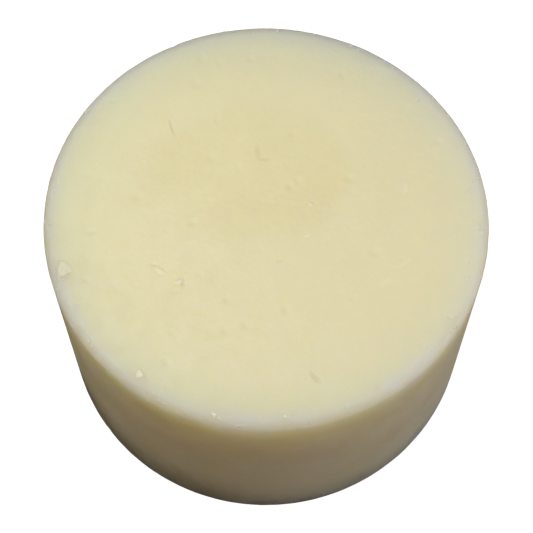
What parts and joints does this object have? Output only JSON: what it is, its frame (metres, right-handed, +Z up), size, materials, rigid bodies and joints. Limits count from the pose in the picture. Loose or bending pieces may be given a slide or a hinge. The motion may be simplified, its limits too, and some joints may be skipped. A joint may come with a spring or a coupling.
{
  "type": "shaving soap puck",
  "caption": "Squat round puck of solid cream-coloured shaving soap with a flat lathering face, a rounded rim, a plain side drawn in slightly towards the base, and a flat base.",
  "frame": {"origin": "centre of the flat base, on the surface that the puck rests on", "axes": "+Z up the puck's axis, out of the lathering face; +X and +Y are equivalent, because the puck is round"},
  "size_m": [0.06, 0.06, 0.04],
  "materials": {
    "soap": "satin"
  },
  "bodies": {
    "root": {"soap_puck": "soap"}
  },
  "joints": []
}
